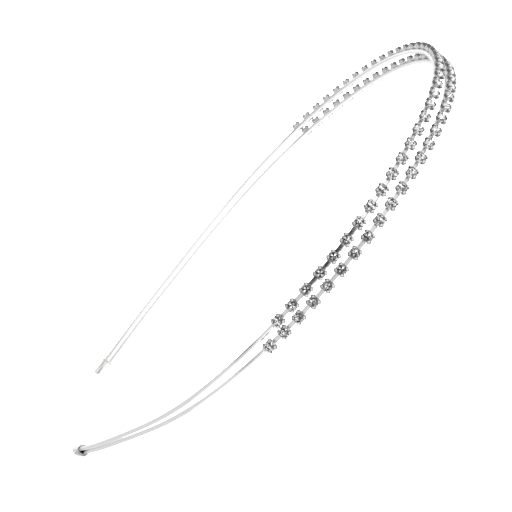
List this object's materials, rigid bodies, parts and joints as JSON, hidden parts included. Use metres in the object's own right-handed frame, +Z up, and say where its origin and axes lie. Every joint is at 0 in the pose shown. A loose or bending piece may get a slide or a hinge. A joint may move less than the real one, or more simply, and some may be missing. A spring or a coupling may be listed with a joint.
{
  "type": "rhinestone headband",
  "caption": "Thin sprung headband of two round wires that part towards the crown, each with a row of small round stones in claw cups, and a metal cap over both wires at each tip.",
  "frame": {"origin": "on the surface that the band lies on, below the middle of its box", "axes": "+X across the band, +Y from the tips to the crown, +Z up, out of the band's plane"},
  "size_m": [0.1253, 0.1468, 0.0072],
  "materials": {
    "polished_wire": "polished silver-coloured plating",
    "plated_setting": "bright silver-coloured plating",
    "cut_stone": "clear cut stone with a bright foil back",
    "cap_metal": "polished silver-coloured plating, a little warmer"
  },
  "bodies": {
    "root": {"wire_upper": "polished_wire", "wire_lower": "polished_wire", "settings_upper": "plated_setting", "settings_lower": "plated_setting", "stones_upper": "cut_stone", "stones_lower": "cut_stone", "tip_cap_right": "cap_metal", "tip_cap_left": "cap_metal"}
  },
  "joints": []
}
